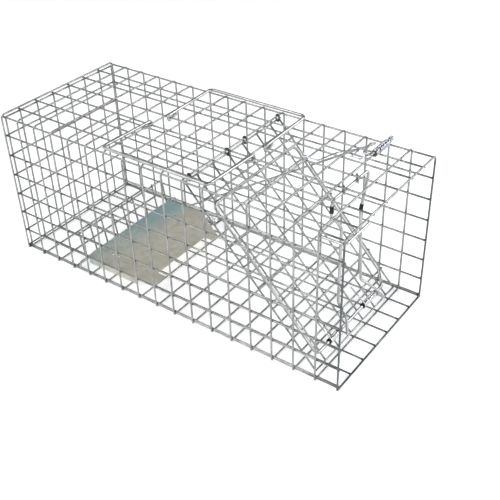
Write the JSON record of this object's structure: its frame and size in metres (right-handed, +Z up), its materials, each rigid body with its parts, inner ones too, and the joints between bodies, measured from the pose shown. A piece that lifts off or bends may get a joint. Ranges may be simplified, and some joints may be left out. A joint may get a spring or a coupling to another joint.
{
  "type": "live catch trap",
  "caption": "Wire mesh cage trap with a sloping sprung door, lock bar, foot treadle, trigger rod and folding wire handles.",
  "frame": {"origin": "middle of the bounding box's bottom face, on the ground", "axes": "+X along the cage towards the door's end, +Y across it towards the trigger rod's side, +Z up"},
  "size_m": [0.4338, 0.1848, 0.1812],
  "materials": {
    "zinc_mesh": "bright zinc plated wire",
    "zinc_rod": "bright zinc plated rod",
    "clip_steel": "dull zinc plated wire",
    "spring_steel": "bright spring wire with a bluish tint",
    "dark_sleeve": "dark plastic sleeve",
    "treadle_sheet": "galvanised sheet, grey green",
    "bright_tab": "bright plated sheet"
  },
  "bodies": {
    "root": {"wrap_mesh": "zinc_mesh", "floor_mesh": "zinc_mesh", "rear_panel": "zinc_mesh", "opening_stay": "zinc_rod", "door_hinge_clips": "clip_steel", "lock_hanger_clips": "clip_steel", "treadle_hinge_rod": "zinc_rod", "bait_guard": "zinc_mesh", "trigger_spring": "spring_steel"},
    "door": {"door_mesh": "zinc_mesh", "door_frame": "zinc_rod", "lock_spring_near": "spring_steel", "lock_spring_far": "spring_steel"},
    "lock": {"lock_bar": "zinc_rod", "lock_bar_sleeves": "dark_sleeve"},
    "treadle": {"treadle_plate": "treadle_sheet", "treadle_tab": "bright_tab", "treadle_rivets": "clip_steel"},
    "trigger": {"trigger_rod": "zinc_rod"},
    "near_handle": {"near_handle": "zinc_rod"},
    "far_handle": {"far_handle": "zinc_rod"}
  },
  "joints": [
    {"name": "door_swing", "type": "hinge", "parent": "root", "child": "door", "pos_m": [0.0381, -0.00387, 0.1718], "axis": [0, -1, 0], "range_deg": [0, 41]},
    {"name": "lock_swing", "type": "hinge", "parent": "root", "child": "lock", "pos_m": [0.17145, -0.00387, 0.1713], "axis": [0, -1, 0], "range_deg": [0, 82]},
    {"name": "treadle_tilt", "type": "hinge", "parent": "root", "child": "treadle", "pos_m": [-0.12954, -0.00387, 0.01142], "axis": [0, -1, 0], "range_deg": [0, 12]},
    {"name": "trigger_turn", "type": "hinge", "parent": "root", "child": "trigger", "pos_m": [0.1651, -0.00387, 0.1784], "axis": [0, -1, 0], "range_deg": [-1.13, 0]},
    {"name": "near_handle_lift", "type": "hinge", "parent": "root", "child": "near_handle", "pos_m": [0, -0.01638, 0.1742], "axis": [-1, 0, 0], "range_deg": [0, 93]},
    {"name": "far_handle_lift", "type": "hinge", "parent": "root", "child": "far_handle", "pos_m": [0, 0.00863, 0.1742], "axis": [1, 0, 0], "range_deg": [0, 93]}
  ],
  "couplings": [
    {"joint": "lock_swing", "follows": "door_swing", "ratio": 2},
    {"joint": "trigger_turn", "follows": "treadle_tilt", "ratio": -0.0944}
  ]
}
